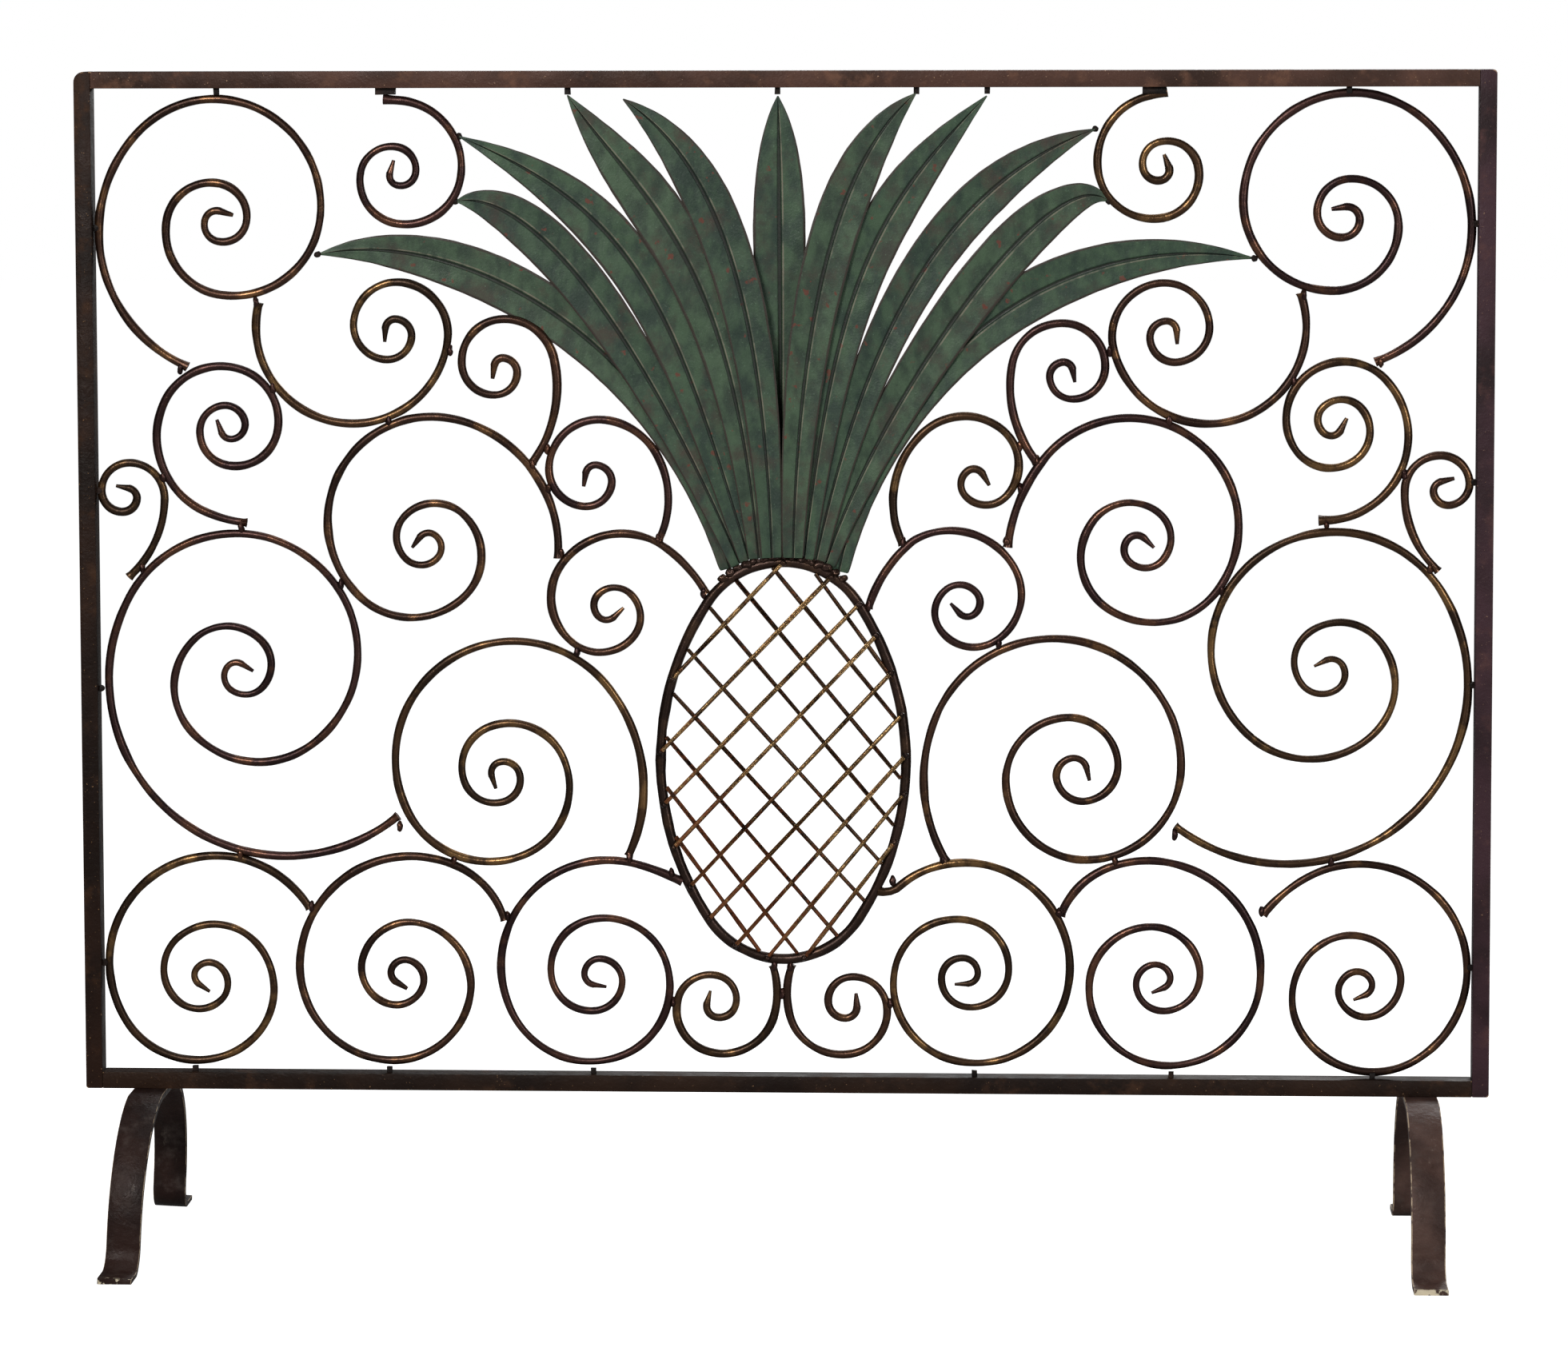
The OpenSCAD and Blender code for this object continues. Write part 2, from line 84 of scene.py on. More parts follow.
class Finish:
    """A material under construction: its nodes are added in the order that coats go on."""

    def __init__(self, name, metallic, specular=0.5):
        self.material = bpy.data.materials.new(name)
        self.material.use_nodes = True
        self.tree = self.material.node_tree
        self.shader = self.tree.nodes["Principled BSDF"]
        self.shader.inputs["Metallic"].default_value = metallic
        self.shader.inputs["Specular IOR Level"].default_value = specular
        self.place = self.add("ShaderNodeTexCoord").outputs["Object"]

    def add(self, kind, **settings):
        node = self.tree.nodes.new(kind)
        for key, value in settings.items():
            setattr(node, key, value)
        return node

    def plug(self, source, target):
        if isinstance(source, (int, float, tuple)):
            target.default_value = source
        else:
            self.tree.links.new(source, target)

    def noise(self, size, detail=4.0, rough=0.6, stretch=(1, 1, 1), shift=0.0):
        mapping = self.add("ShaderNodeMapping")
        mapping.inputs["Scale"].default_value = stretch
        mapping.inputs["Location"].default_value = (shift, shift * 0.7, -shift)
        self.plug(self.place, mapping.inputs["Vector"])
        node = self.add("ShaderNodeTexNoise")
        node.inputs["Scale"].default_value = 1 / size
        node.inputs["Detail"].default_value = detail
        node.inputs["Roughness"].default_value = rough
        self.plug(mapping.outputs["Vector"], node.inputs["Vector"])
        return node.outputs["Fac"]

    def band(self, value, low, high, start=0.0, end=1.0):
        node = self.add("ShaderNodeMapRange", interpolation_type="SMOOTHSTEP")
        self.plug(value, node.inputs["Value"])
        node.inputs["From Min"].default_value = low
        node.inputs["From Max"].default_value = high
        node.inputs["To Min"].default_value = start
        node.inputs["To Max"].default_value = end
        return node.outputs["Result"]

    def joined(self, a, b, way="MULTIPLY"):
        node = self.add("ShaderNodeMath", operation=way)
        self.plug(a, node.inputs[0])
        self.plug(b, node.inputs[1])
        return node.outputs["Value"]

    def over(self, below, top, amount):
        node = self.add("ShaderNodeMix", data_type="RGBA")
        self.plug(amount, node.inputs["Factor"])
        self.plug(below, node.inputs["A"])
        self.plug(top, node.inputs["B"])
        return node.outputs["Result"]

    def worn(self, name="edge_wear_and_highlight"):
        return self.add("ShaderNodeAttribute", attribute_name=name).outputs["Fac"]

    def done(self, colour, roughness, height, depth):
        self.plug(colour, self.shader.inputs["Base Color"])
        self.plug(roughness, self.shader.inputs["Roughness"])
        bump = self.add("ShaderNodeBump")
        bump.inputs["Distance"].default_value = depth
        bump.inputs["Strength"].default_value = 1.0
        self.plug(height, bump.inputs["Height"])
        self.plug(bump.outputs["Normal"], self.shader.inputs["Normal"])
        return self.material


def lacquered_iron(name, dark, body, warm, bare_and_edge_highlight, edge=0.75, metallic=0.1):
    coat = Finish(name, metallic, 0.12)
    patch = coat.noise(0.09, 3)
    cloud = coat.noise(0.022, 5, shift=2.0)
    speck = coat.noise(0.0016, 2, shift=5.0)
    colour = coat.over(lacquer_tone(dark), lacquer_tone(body), coat.band(patch, 0.35, 0.62))
    colour = coat.over(colour, lacquer_tone(warm), coat.band(cloud, 0.52, 0.72, 0, 0.7))
    colour = coat.over(colour, lacquer_tone(bare_and_edge_highlight), coat.band(speck, 0.70, 0.76, 0, 0.55))
    # Pale colour on the filed edges: paint rubbed through there, and a painted highlight along each edge.
    rub_and_edge_highlight = coat.joined(coat.worn(), coat.band(coat.noise(0.012, 4, shift=9.0), 0.42, 0.6, 0, edge))
    colour = coat.over(colour, lacquer_tone(bare_and_edge_highlight), rub_and_edge_highlight)
    roughness = coat.band(cloud, 0.3, 0.7, 0.42, 0.6)
    height = coat.joined(coat.noise(0.006, 4, shift=3.0), coat.joined(speck, 0.35), "ADD")
    return coat.done(colour, roughness, height, 0.0007)


def mark_worn_and_highlit_edges(obj, rule):
    edge_wear_and_highlight = obj.data.attributes.new("edge_wear_and_highlight", "FLOAT", "FACE")
    for face in obj.data.polygons:
        edge_wear_and_highlight.data[face.index].value = 1.0 if rule(face.normal) else 0.0


square_on = 0.96


def between_flats(normal):
    return max(abs(normal.x), abs(normal.y), abs(normal.z)) < square_on


file_width = 0.0009
corner_rounds = {"left_stile": (0.008, 0.002), "right_stile": (0.003, 0.002)}
frame_tones = {
    "left_stile": ("150c08", "25160f", "3c2617", "a07a54"),
    "right_stile": ("23181a", "3a272d", "503634", "987860"),
    "top_rail": ("2f201a", "4a332b", "664839", "b8967a"),
    "bottom_rail": ("170e0a", "271911", "3e291c", "987656"),
}
for node, tones in frame_tones.items():
    low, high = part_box(node)
    size = [high[i] - low[i] for i in range(3)]
    deselect()
    bpy.ops.mesh.primitive_cube_add(size=1, location=[(low[i] + high[i]) / 2 for i in range(3)])
    bar = bpy.context.object
    bar.name = node + "_bar"
    bar.scale = size
    bpy.ops.object.transform_apply(location=True, rotation=True, scale=True)
    if node in corner_rounds:
        outer = low[0] if node == "left_stile" else high[0]
        for level, radius in zip((high[2], low[2]), corner_rounds[node]):
            bpy.ops.object.mode_set(mode="EDIT")
            bpy.ops.mesh.select_all(action="DESELECT")
            bpy.ops.object.mode_set(mode="OBJECT")
            for edge in bar.data.edges:
                ends = [bar.data.vertices[v].co for v in edge.vertices]
                edge.select = all(abs(p.x - outer) < 1e-5 and abs(p.z - level) < 1e-5 for p in ends)
            bpy.ops.object.mode_set(mode="EDIT")
            bpy.ops.mesh.select_mode(type="EDGE")
            bpy.ops.mesh.bevel(offset=radius, segments=7, affect="EDGES")
            bpy.ops.object.mode_set(mode="OBJECT")
    apply_modifier(bar, "filed", "BEVEL", width=file_width, segments=2, limit_method="ANGLE",
                   angle_limit=math.radians(40), profile=0.6)
    mark_worn_and_highlit_edges(bar, between_flats)
    take(bar)
    bpy.ops.object.shade_smooth_by_angle(angle=math.radians(32))
    fix_on(bar, [node], "frame_paint", lacquered_iron(node + "_lacquer", *tones))

# ---- feet ----
# Two flat straps, each bent hot into an arch that the bottom rail is welded to, with a toe
# turned out flat at the front and at the back. Near-black paint with a grey bloom, chipped to a
# cream undercoat on the toes; the pale colour along the arrises is rubbed paint and a painted
# highlight on the edges.


def iron_copy(name, node):
    deselect()
    piece = bpy.data.objects.new(name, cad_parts[node].data.copy())
    bpy.context.collection.objects.link(piece)
    take(piece)
    bpy.ops.object.mode_set(mode="EDIT")
    bpy.ops.mesh.select_all(action="SELECT")
    bpy.ops.mesh.customdata_custom_splitnormals_clear()
    bpy.ops.mesh.remove_doubles(threshold=0.00001)
    bpy.ops.object.mode_set(mode="OBJECT")
    return piece


def across_strap(normal):
    return 0.2 < abs(normal.x) < 0.95


sole_chips_z = (0.0045, 0.0075)
toe_chips_y = (-0.1485, -0.146)
undercoat = "c9bda4"
grey_bloom = "4d4440"
arris_wear_and_highlight = "b9a58c"
scuffed = "8d8177"


def foot_paint(name, shade, chip):
    coat = Finish(name, 0.1, 0.14)
    patch = coat.noise(0.05, 4)
    bloom = coat.noise(0.016, 6, 0.7, shift=4.0)
    speck = coat.noise(0.0022, 3, shift=7.0)
    spot = coat.add("ShaderNodeSeparateXYZ")
    coat.plug(coat.place, spot.inputs["Vector"])
    colour = coat.over(lacquer_tone(shade[0]), lacquer_tone(shade[1]), coat.band(patch, 0.35, 0.65))
    colour = coat.over(colour, lacquer_tone(grey_bloom), coat.band(bloom, 0.5, 0.74, 0, 0.45))
    # Pale colour along the arrises: paint rubbed through there, and a painted highlight along each edge.
    rub_and_edge_highlight = coat.joined(coat.worn(), coat.band(coat.noise(0.009, 4, shift=9.0), 0.4, 0.56))
    colour = coat.over(colour, lacquer_tone(arris_wear_and_highlight), coat.joined(rub_and_edge_highlight, 0.8))
    low_down = coat.band(spot.outputs["Z"], sole_chips_z[0], sole_chips_z[1], 1, 0)
    toe_end = coat.band(spot.outputs["Y"], toe_chips_y[0], toe_chips_y[1], 1, 0)
    front_toe = coat.joined(low_down, toe_end)
    flake = coat.joined(coat.band(coat.noise(0.006, 5, shift=1.0), 0.54 - chip, 0.58 - chip), front_toe)
    colour = coat.over(colour, lacquer_tone(undercoat), flake)
    scuff = coat.band(coat.noise(0.02, 6, 0.75, (1, 1, 0.35), 6.0), 0.62, 0.7, 0, 0.12 + 2 * chip)
    colour = coat.over(colour, lacquer_tone(scuffed), scuff)
    roughness = coat.band(bloom, 0.3, 0.7, 0.34, 0.6)
    height = coat.joined(coat.noise(0.008, 4, shift=3.0), coat.joined(speck, 0.3), "ADD")
    return coat.done(colour, roughness, coat.joined(height, coat.joined(flake, 0.5), "SUBTRACT"), 0.0009)


for node, shade, chip in (("left_foot", ("1a100e", "2a1b17"), 0.02),
                          ("right_foot", ("32231f", "4e3b35"), 0.09)):
    strap = iron_copy(node + "_strap", node)
    apply_modifier(strap, "rounded", "BEVEL", width=0.0008, segments=2, limit_method="ANGLE",
                   angle_limit=math.radians(40))
    mark_worn_and_highlit_edges(strap, across_strap)
    take(strap)
    bpy.ops.object.shade_smooth_by_angle(angle=math.radians(32))
    fix_on(strap, [node], "foot_paint", foot_paint(node + "_paint", shade, chip))

# ---- scrolls ----
# Thirty round rods, bent hot round a scroll iron and drawn out thinner towards the eye, where
# each ends in a hammered point. They are lacquered dark bronze, rubbed to copper and gold in
# places, and the hammer has left them a little uneven.


def hammered(obj, grain, depth, direction="NORMAL"):
    marks = bpy.data.textures.new(obj.name + "_marks", "CLOUDS")
    marks.noise_scale = grain
    marks.noise_depth = 1
    apply_modifier(obj, "hammered", "DISPLACE", texture=marks, texture_coords="LOCAL",
                   strength=depth, mid_level=0.5, direction=direction)
    bpy.data.textures.remove(marks)


soot_black = "1d1411"
rubbed_glint = "e0c093"


def bronze(name, shade, gold, shift):
    coat = Finish(name, metallic=0.82, specular=0.6)
    stretch = coat.noise(0.07, 2, 0.5, shift=shift)
    rubbed = coat.noise(0.03, 4, 0.6, shift=shift + 3)
    soot = coat.noise(0.011, 5, 0.7, shift=shift + 6)
    grit = coat.noise(0.0012, 2, shift=shift + 8)
    colour = coat.over(lacquer_tone(shade[0]), lacquer_tone(shade[1]), coat.band(stretch, 0.38, 0.62))
    colour = coat.over(colour, lacquer_tone(shade[2]), coat.band(rubbed, 0.5, 0.66, 0, gold))
    colour = coat.over(colour, lacquer_tone(soot_black), coat.band(soot, 0.56, 0.7, 0, 0.6))
    colour = coat.over(colour, lacquer_tone(rubbed_glint), coat.band(grit, 0.7, 0.78, 0, 0.3))
    roughness = coat.joined(coat.band(rubbed, 0.3, 0.7, 0.34, 0.22), coat.joined(soot, 0.14), "ADD")
    height = coat.joined(coat.noise(0.006, 3, shift=shift + 1), coat.joined(grit, 0.2), "ADD")
    return coat.done(colour, roughness, height, 0.0003)


scroll_bronzes = [
    bronze("bronze_plain", ("2a1a13", "422c21", "85603e"), 0.55, 0.0),
    bronze("bronze_plum", ("281818", "3e2824", "754f39"), 0.5, 11.0),
    bronze("bronze_gold", ("2c1e13", "45301f", "8c6a42"), 0.6, 23.0),
]
scroll_names = ["corner_scroll", "top_scroll", "upper_scroll", "leaf_scroll", "side_scroll",
                "stile_curl", "centre_scroll", "great_scroll", "lower_scroll", "ring_scroll",
                "shoulder_scroll", "base_outer", "base_middle", "base_inner", "base_curl"]


upright = 0.004
swelling = ((0.35, 1.0), (0.35, 1.08), (0.3, 1.12))


def run_on(rod, length, curl):
    """Carries the cut end of a rod into what it is welded to, a little swollen by the heat."""
    flats = {}
    for face in rod.data.polygons:
        normal = face.normal
        if abs(normal.y) < upright:
            key = (round(normal.x, 2), round(normal.z, 2), round(normal.dot(face.center), 4))
            flats.setdefault(key, []).append(face)
    end = max(flats.values(), key=lambda group: sum(face.area for face in group))
    heading = end[0].normal.copy()
    middle = sum((face.center * face.area for face in end), Vector()) / sum(face.area for face in end)
    chosen = [face.index for face in end]
    take(rod)
    bpy.ops.object.mode_set(mode="EDIT")
    bpy.ops.mesh.select_all(action="DESELECT")
    bpy.ops.mesh.select_mode(type="FACE")
    bpy.ops.object.mode_set(mode="OBJECT")
    for number in chosen:
        rod.data.polygons[number].select = True
    bpy.ops.object.mode_set(mode="EDIT")
    turn = Matrix.Rotation(math.radians(curl / len(swelling)), 3, "Y")
    for share, swell in swelling:
        if curl:
            sheet = bmesh.from_edit_mesh(rod.data)
            bmesh.ops.rotate(sheet, verts=[v for v in sheet.verts if v.select], cent=middle, matrix=turn)
            bmesh.update_edit_mesh(rod.data)
            heading = turn @ heading
        move = heading * length * share
        middle = middle + move
        bpy.ops.mesh.extrude_region_move(TRANSFORM_OT_translate={"value": tuple(move)})
        bpy.ops.transform.resize(value=(swell, swell, swell), center_override=tuple(middle))
    bpy.ops.object.mode_set(mode="OBJECT")


rod_waves = (0.03, 0.0012)
rod_dents = (0.012, 0.0003)
usual_reach = 0.0045
long_reach = {"top_scroll": 0.012, "base_inner": 0.009, "corner_scroll": 0.007, "centre_scroll": 0.008,
              "right_base_inner": 0.015}
curled_ends = {"right_base_inner": 54}
for count, name in enumerate(scroll_names):
    for side in ("left_", "right_"):
        rod = iron_copy(side + name + "_rod", side + name)
        reach = long_reach.get(side + name, long_reach.get(name, usual_reach))
        run_on(rod, reach, curled_ends.get(side + name, 0))
        hammered(rod, *rod_waves)
        hammered(rod, *rod_dents)
        take(rod)
        bpy.ops.object.shade_smooth_by_angle(angle=math.radians(40))
        tone = scroll_bronzes[(count + (side == "right_")) % 3]
        fix_on(rod, [side + name], "rod_paint", tone)

# ---- ring ----
# A thicker rod bent to a long ring with flatter sides, welded to itself and to the scrolls.
# Dark brown with a dull bronze sheen where it stands proud.

ring_iron = bronze("ring_iron", ("241813", "382822", "604734"), 0.4, 31.0)
ring_rod = iron_copy("ring_rod", "ring")
ring_waves = (0.02, 0.0012)
hammered(ring_rod, *ring_waves)
take(ring_rod)
bpy.ops.object.shade_smooth_by_angle(angle=math.radians(40))
fix_on(ring_rod, ["ring"], "ring_paint", ring_iron)

# ---- lattice ----
# Two crossing rows of thin brass-coated rods: the back row sits inside the ring and the front
# row is welded on its face. The coating has gone to orange rust at the crossings and low down
# on the left.


ring_middle_z = 0.37
old_brass = "2b1c13"
orange_rust = "6e3c22"
dark_blotch = "2a1a14"
lattice_waves = (0.03, 0.0009)
lattice_dents = (0.008, 0.0002)


def lattice_brass(name, light):
    coat = Finish(name, metallic=0.85, specular=0.6)
    spot = coat.add("ShaderNodeSeparateXYZ")
    coat.plug(coat.place, spot.inputs["Vector"])
    patch = coat.noise(0.02, 4)
    speck = coat.noise(0.0035, 4, 0.7, shift=4.0)
    colour = coat.over(lacquer_tone(old_brass), lacquer_tone(light), coat.band(patch, 0.34, 0.6))
    height = coat.joined(spot.outputs["Z"], ring_middle_z, "SUBTRACT")
    diagonal = coat.joined(spot.outputs["X"], height, "ADD")
    lower_left = coat.band(diagonal, -0.16, 0.02, 0.17, 0.0)
    rust = coat.band(coat.joined(speck, lower_left, "ADD"), 0.53, 0.66, 0, 0.85)
    colour = coat.over(colour, lacquer_tone(orange_rust), rust)
    blotch = coat.band(coat.noise(0.006, 4, shift=8.0), 0.6, 0.68, 0, 0.85)
    colour = coat.over(colour, lacquer_tone(dark_blotch), blotch)
    return coat.done(colour, coat.band(rust, 0, 1, 0.24, 0.62), speck, 0.0004)


# The back row's pale tone is far darker than the front row's: painted shade on the rods lying behind the
# front row.
for node, light in (("lattice_front", "957850"), ("lattice_back", "4c3826")):
    rods = iron_copy(node + "_rods", node)
    apply_modifier(rods, "short_lengths", "SUBSURF", subdivision_type="SIMPLE", levels=2, render_levels=2)
    hammered(rods, *lattice_waves)
    hammered(rods, *lattice_dents)
    take(rods)
    bpy.ops.object.shade_smooth_by_angle(angle=math.radians(40))
    fix_on(rods, [node], "lattice_brass", lattice_brass(node + "_coat", light))

# ---- leaves ----
# Eleven long leaves cut from thin sheet, dished along a chased midrib and lapped over each
# other in a fan from the top of the ring. Green paint gone grey-brown in patches, with a few
# spots of rust; the dark edges are painted shade where the leaves lap, the dark midrib is dirt
# and painted shade in the groove, and a pale line beside it is a painted highlight.

leaf_gauge = 0.0007
leaf_dish = 0.0015
rib_groove = 0.0005
leaf_stand_off = 0.0003
leaf_ripple = 0.0003
leaf_dents = (0.012, 0.0005)
tip_start = 0.6
rows_to_rib = 1.5
leaf_order = ["centre"] + [side + str(k) for side in ("left_", "right_") for k in range(1, 6)]


faces_front = -0.9
above_roots = 0.6


def leaf_sides(node):
    """The two sides of a leaf's outline, each from root to tip, read off its front face."""
    sheet = bmesh.new()
    sheet.from_mesh(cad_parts[node].data)
    bmesh.ops.remove_doubles(sheet, verts=sheet.verts, dist=0.00001)
    sheet.normal_update()
    rim = [e for e in sheet.edges if sum(f.normal.y < faces_front for f in e.link_faces) == 1]
    links = {}
    for edge in rim:
        for a, b in (edge.verts, reversed(edge.verts)):
            links.setdefault(a, []).append(b)
    start, after = min(rim, key=lambda e: e.calc_length() if
                       sum(v.co.z for v in e.verts) / 2 > above_roots else 1.0).verts
    walk = [start, after]
    while len(walk) < len(links):
        walk.append([v for v in links[walk[-1]] if v is not walk[-2]][0])
    points = [v.co.copy() for v in walk]
    half = len(points) // 2
    one = points[1:half + 1]
    other = [points[0]] + points[:half:-1]
    sheet.free()
    return one[::-1], other[::-1]


def part_way(side, t):
    place = t * (len(side) - 1)
    k = min(int(place), len(side) - 2)
    return side[k].lerp(side[k + 1], place - k)


pale_grain = "5c7560"
rust_spot = "5e3026"
painted_ridge_highlight = "84776b"
groove_dirt_and_shade = "161815"
leaf_edge_shade = "2c231e"


def leaf_paint(name, green, brown, shift):
    coat = Finish(name, 0.1, 0.3)
    spread = coat.add("ShaderNodeSeparateXYZ")
    coat.plug(coat.add("ShaderNodeUVMap", uv_map="UVMap").outputs["UV"], spread.inputs["Vector"])
    across = spread.outputs["Y"]
    off_rib = coat.add("ShaderNodeMath", operation="ABSOLUTE").outputs["Value"]
    coat.plug(coat.joined(across, 0.5, "SUBTRACT"), off_rib.node.inputs[0])
    patch = coat.noise(0.035, 5, 0.65, shift=shift)
    fleck = coat.noise(0.014, 5, 0.6, (1, 1, 0.6), shift + 2)
    grain = coat.noise(0.0018, 3, shift=shift + 4)
    colour = coat.over(lacquer_tone(green[0]), lacquer_tone(green[1]), coat.band(fleck, 0.35, 0.65))
    colour = coat.over(colour, lacquer_tone(brown), coat.band(patch, 0.5, 0.68, 0, 0.7))
    colour = coat.over(colour, lacquer_tone(pale_grain), coat.band(grain, 0.62, 0.74, 0, 0.4))
    rust = coat.band(coat.noise(0.009, 3, 0.5, shift=shift + 6), 0.66, 0.72, 0, 0.8)
    colour = coat.over(colour, lacquer_tone(rust_spot), rust)
    # A pale line just beside the midrib is a painted highlight along the ridge, broken up by the fleck
    # noise.
    beside = coat.add("ShaderNodeMath", operation="ABSOLUTE").outputs["Value"]
    coat.plug(coat.joined(across, 0.63, "SUBTRACT"), beside.node.inputs[0])
    glint = coat.joined(coat.band(beside, 0.008, 0.026, 1, 0), coat.band(fleck, 0.38, 0.58, 0.05, 0.5))
    colour = coat.over(colour, lacquer_tone(painted_ridge_highlight), glint)
    # The dark band down the midrib is dirt in the chased groove and painted shade in it.
    rib = coat.band(off_rib, 0.06, 0.115, 1, 0)
    colour = coat.over(colour, lacquer_tone(groove_dirt_and_shade), coat.joined(rib, 0.85))
    # The dark band along each leaf's edge is painted shade where the leaves lap over each other.
    ragged = coat.joined(off_rib, coat.joined(fleck, 0.06), "ADD")
    edge = coat.band(ragged, 0.485, 0.51, 0, 0.9)
    colour = coat.over(colour, lacquer_tone(leaf_edge_shade), edge)
    roughness = coat.joined(coat.band(patch, 0.35, 0.65, 0.42, 0.6), coat.joined(rust, 0.2), "ADD")
    height = coat.joined(coat.joined(fleck, 0.6), coat.joined(grain, 0.25), "ADD")
    height = coat.joined(height, coat.joined(rib, 0.7), "SUBTRACT")
    return coat.done(colour, roughness, height, 0.0007)


leaf_paints = [
    leaf_paint("leaf_green_cool", ("22332a", "384d39"), "332f29", 0.0),
    leaf_paint("leaf_green_grey", ("26352a", "3c503c"), "39302a", 7.0),
    leaf_paint("leaf_green_brown", ("203028", "354937"), "3c2f29", 15.0),
]
for count, name in enumerate(leaf_order):
    node = "leaf_" + name
    one, other = leaf_sides(node)
    if one[len(one) // 2].x > other[len(other) // 2].x:
        one, other = other, one
    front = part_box(node)[0][1]
    deselect()
    bpy.ops.mesh.primitive_grid_add(x_subdivisions=56, y_subdivisions=14, size=2, calc_uvs=True)
    leaf = bpy.context.object
    leaf.name = node + "_sheet"
    for vertex in leaf.data.vertices:
        t = (vertex.co.x + 1) / 2
        s = math.copysign(abs(vertex.co.y) ** rows_to_rib, vertex.co.y)
        place = part_way(one, t).lerp(part_way(other, t), (s + 1) / 2)
        dish = leaf_dish * (1 + 1.2 * max(0, t - tip_start)) * math.sin(math.pi * min(t + 0.12, 1))
        ridge = math.exp(-((abs(s) - 0.1) / 0.05) ** 2)
        depth = dish * (1 - abs(s) ** 1.3) + rib_groove * (math.exp(-(s / 0.04) ** 2) - 0.5 * ridge)
        ripple = leaf_ripple * math.sin(19 * t + 2.1 * count) * abs(s)
        vertex.co = Vector((place.x, front + leaf_stand_off + depth + ripple, place.z))
    apply_modifier(leaf, "gauge", "SOLIDIFY", thickness=leaf_gauge, offset=0)
    apply_modifier(leaf, "smoothed", "SUBSURF", levels=1, render_levels=1)
    hammered(leaf, *leaf_dents)
    take(leaf)
    bpy.ops.object.mode_set(mode="EDIT")
    bpy.ops.mesh.select_all(action="SELECT")
    bpy.ops.mesh.normals_make_consistent(inside=False)
    bpy.ops.object.mode_set(mode="OBJECT")
    bpy.ops.object.shade_smooth_by_angle(angle=math.radians(50))
    fix_on(leaf, [node], "leaf_paint", leaf_paints[count % 3])

# ---- welds and lugs ----
# Every joint is a lump of weld metal run on by hand: upright beads where scrolls touch, small
# blocks against the frame, dots at the leaf tips and a lumpy row that ties the leaves' roots
# to the ring. The scroll beads, root beads and lattice welds take the bronze of the rods or ring
# they join; the blocks at the frame and the dots at the leaf tips are near-black lacquer.


def islands(obj):
    sheet = bmesh.new()
    sheet.from_mesh(obj.data)
    seen = set()
    groups = []
    for first in sheet.verts:
        if first.index in seen:
            continue
        seen.add(first.index)
        group = []
        queue = [first]
        while queue:
            vert = queue.pop()
            group.append(vert.index)
            for edge in vert.link_edges:
                far = edge.other_vert(vert)
                if far.index not in seen:
                    seen.add(far.index)
                    queue.append(far)
        groups.append(group)
    sheet.free()
    return groups


weld_looks = {
    "scroll_welds": ("rod_paint", (0.72, 0.95, 1.3), 0.0022, 0.0045, scroll_bronzes[1]),
    "frame_lugs": ("frame_paint", (1, 1, 1), 0.0012, 0.004, None),
    "leaf_lugs": ("rod_paint", (1, 1, 1), 0.0014, 0.003, None),
    "root_beads": ("ring_paint", (1.35, 0.9, 1), 0.0035, 0.005, ring_iron),
    "lattice_welds": ("ring_paint", (1, 1, 0.9), 0.0018, 0.003, ring_iron),
}
lug_black = lacquered_iron("lug_black", "110d0c", "1e1715", "33251f", "8a6a4c", 0.4)
for node, (slot, stretch, depth, grain, look) in weld_looks.items():
    beads = iron_copy(node + "_metal", node)
    for group in islands(beads):
        points = [beads.data.vertices[i].co for i in group]
        centre = sum(points, Vector()) / len(points)
        for point in points:
            point.x = centre.x + (point.x - centre.x) * stretch[0]
            point.y = centre.y + (point.y - centre.y) * stretch[1]
            point.z = centre.z + (point.z - centre.z) * stretch[2]
    if node in ("frame_lugs", "leaf_lugs"):
        apply_modifier(beads, "softened", "BEVEL", width=0.0006, segments=2, limit_method="ANGLE",
                       angle_limit=math.radians(40))
    hammered(beads, grain, depth)
    mark_worn_and_highlit_edges(beads, lambda normal: False)
    take(beads)
    bpy.ops.object.shade_smooth_by_angle(angle=math.radians(50))
    fix_on(beads, [node], slot, look or lug_black)

# ---- floor, light and camera ----
# A plain pale floor, soft lights in front to both sides, above and behind, and a long lens from
# a little above the middle of the screen.

floor_grey = 0.4
floor_glow = 0.97
room_light = 0.08

deselect()
bpy.ops.mesh.primitive_plane_add(size=30, location=(0, 0, 0))
floor = bpy.context.object
floor.name = "floor"
pale = bpy.data.materials.new("pale_floor")
pale.use_nodes = True
pale_tree = pale.node_tree
pale_shader = pale_tree.nodes["Principled BSDF"]
pale_shader.inputs["Base Color"].default_value = (floor_grey, floor_grey, floor_grey, 1)
pale_shader.inputs["Roughness"].default_value = 0.9
lift = pale_tree.nodes.new("ShaderNodeLightPath")
gain = pale_tree.nodes.new("ShaderNodeMath")
gain.operation = "MULTIPLY"
gain.inputs[1].default_value = floor_glow
pale_tree.links.new(lift.outputs["Is Camera Ray"], gain.inputs[0])
pale_tree.links.new(gain.outputs[0], pale_shader.inputs["Emission Strength"])
pale_shader.inputs["Emission Color"].default_value = (1, 1, 1, 1)
floor.data.materials.append(pale)


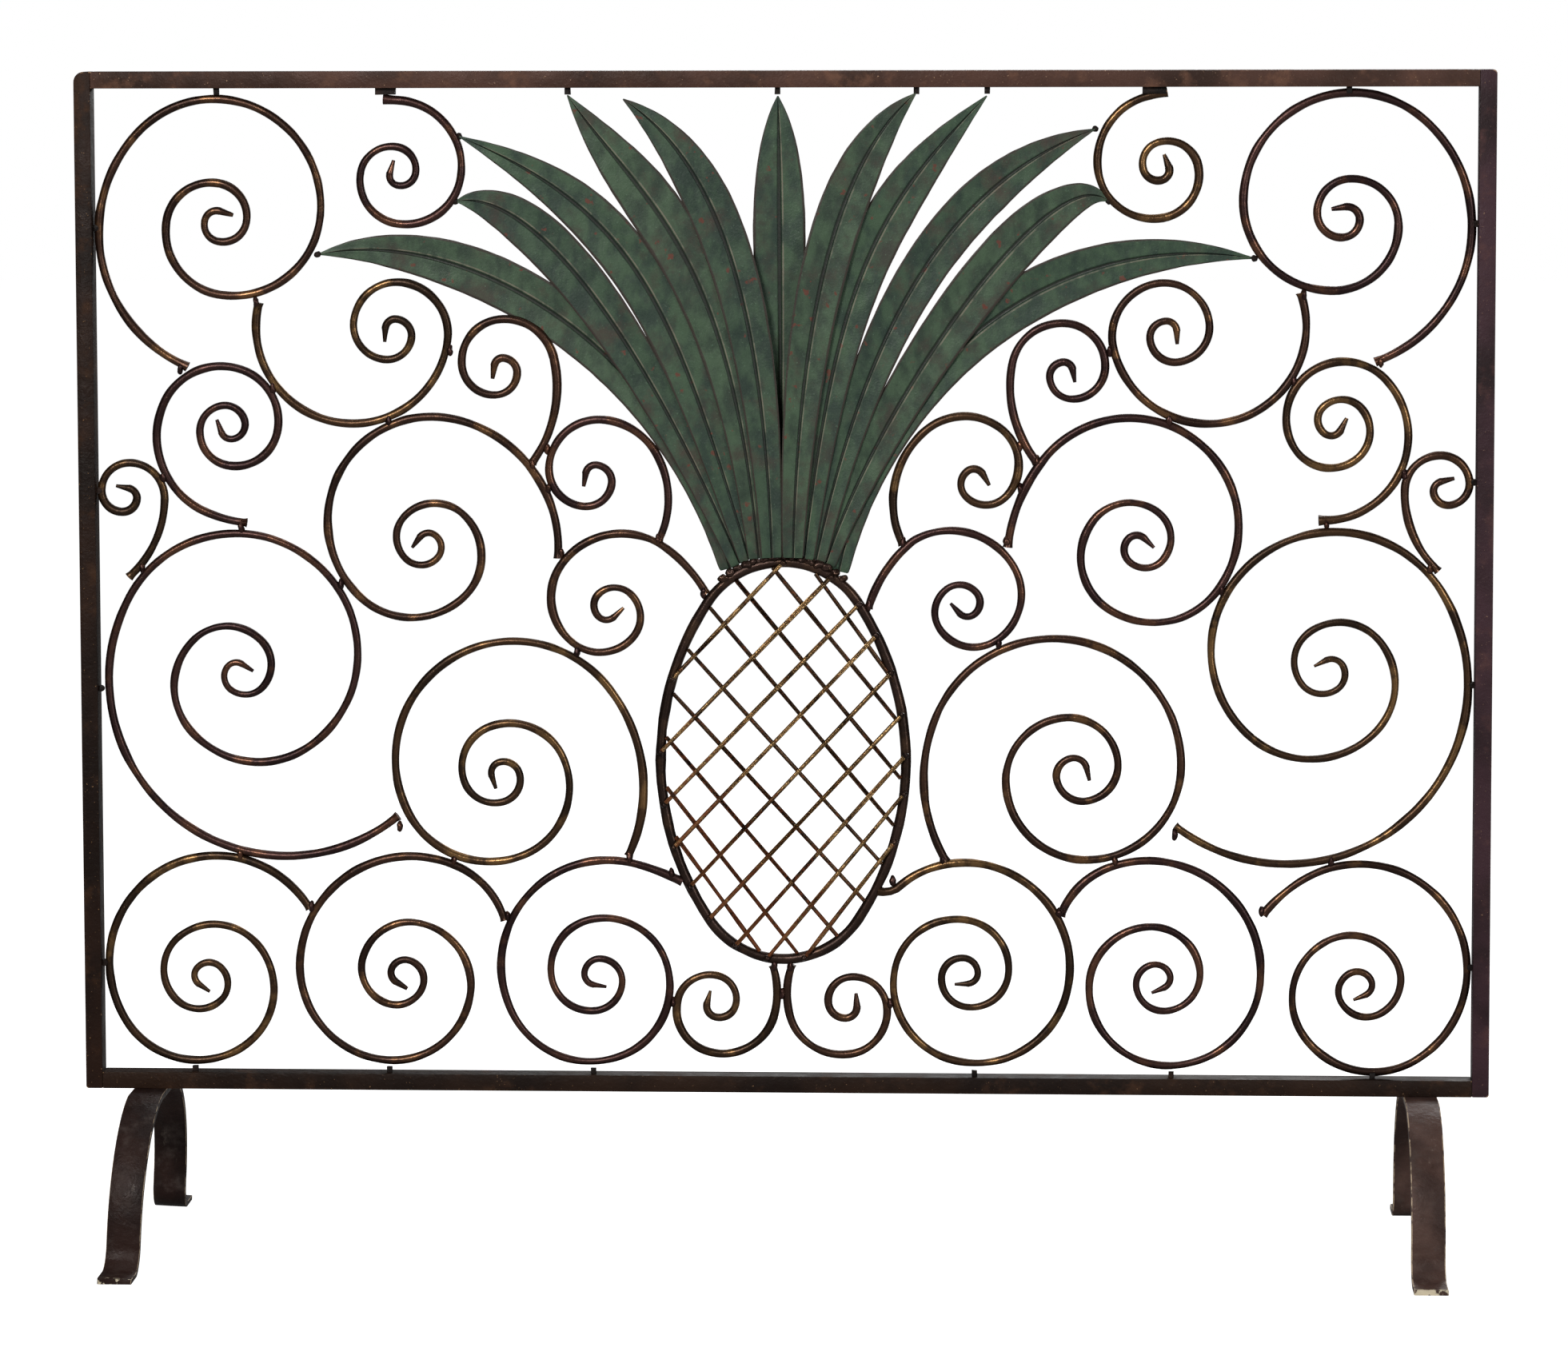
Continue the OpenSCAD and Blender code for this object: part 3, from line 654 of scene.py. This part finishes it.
def soft_light(name, place, target, size, power, tint=(1, 1, 1)):
    lamp = bpy.data.lights.new(name, "AREA")
    lamp.shape = "RECTANGLE"
    lamp.size, lamp.size_y = size
    lamp.energy = power
    lamp.color = tint
    holder = bpy.data.objects.new(name, lamp)
    bpy.context.collection.objects.link(holder)
    holder.location = place
    holder.rotation_euler = (Vector(target) - Vector(place)).to_track_quat("-Z", "Y").to_euler()


soft_light("key", (-1.1, -3.2, 2.1), (0, 0, 0.5), (0.9, 0.9), 100, (1, 0.98, 0.95))
soft_light("fill", (2.2, -2.6, 1.2), (0, 0, 0.5), (0.8, 1.6), 40)
soft_light("top", (0, 0.2, 3.0), (0, 0, 0.5), (2.0, 1.0), 22)
soft_light("behind", (0.6, 2.6, 1.8), (0, 0, 0.5), (2.2, 1.4), 38)

world = bpy.data.worlds.new("studio")
bpy.context.scene.world = world
world.use_nodes = True
sky = world.node_tree
room = sky.nodes["Background"]
room.inputs["Color"].default_value = (1, 1, 1, 1)
room.inputs["Strength"].default_value = room_light
paper = sky.nodes.new("ShaderNodeBackground")
paper.inputs["Color"].default_value = (1, 1, 1, 1)
paper.inputs["Strength"].default_value = 1.0
seen = sky.nodes.new("ShaderNodeLightPath")
choose = sky.nodes.new("ShaderNodeMixShader")
sky.links.new(seen.outputs["Is Camera Ray"], choose.inputs["Fac"])
sky.links.new(room.outputs["Background"], choose.inputs[1])
sky.links.new(paper.outputs["Background"], choose.inputs[2])
sky.links.new(choose.outputs["Shader"], sky.nodes["World Output"].inputs["Surface"])
bpy.context.scene.view_settings.view_transform = "Standard"

camera_place = (0.2023, -4.2517, 0.9463)
camera_pan = 2.71
camera_dip = 4.946
camera_roll = -0.13
lens = bpy.data.cameras.new("camera")
lens.sensor_width = 36
lens.lens = 130
lens.shift_y = -0.1173
lens.clip_end = 60
eye = bpy.data.objects.new("camera", lens)
bpy.context.collection.objects.link(eye)
aim = Matrix.Rotation(math.radians(camera_pan), 4, "Z")
aim = aim @ Matrix.Rotation(math.radians(90 - camera_dip), 4, "X")
aim = aim @ Matrix.Rotation(math.radians(camera_roll), 4, "Z")
eye.matrix_world = Matrix.Translation(camera_place) @ aim
bpy.context.scene.camera = eye
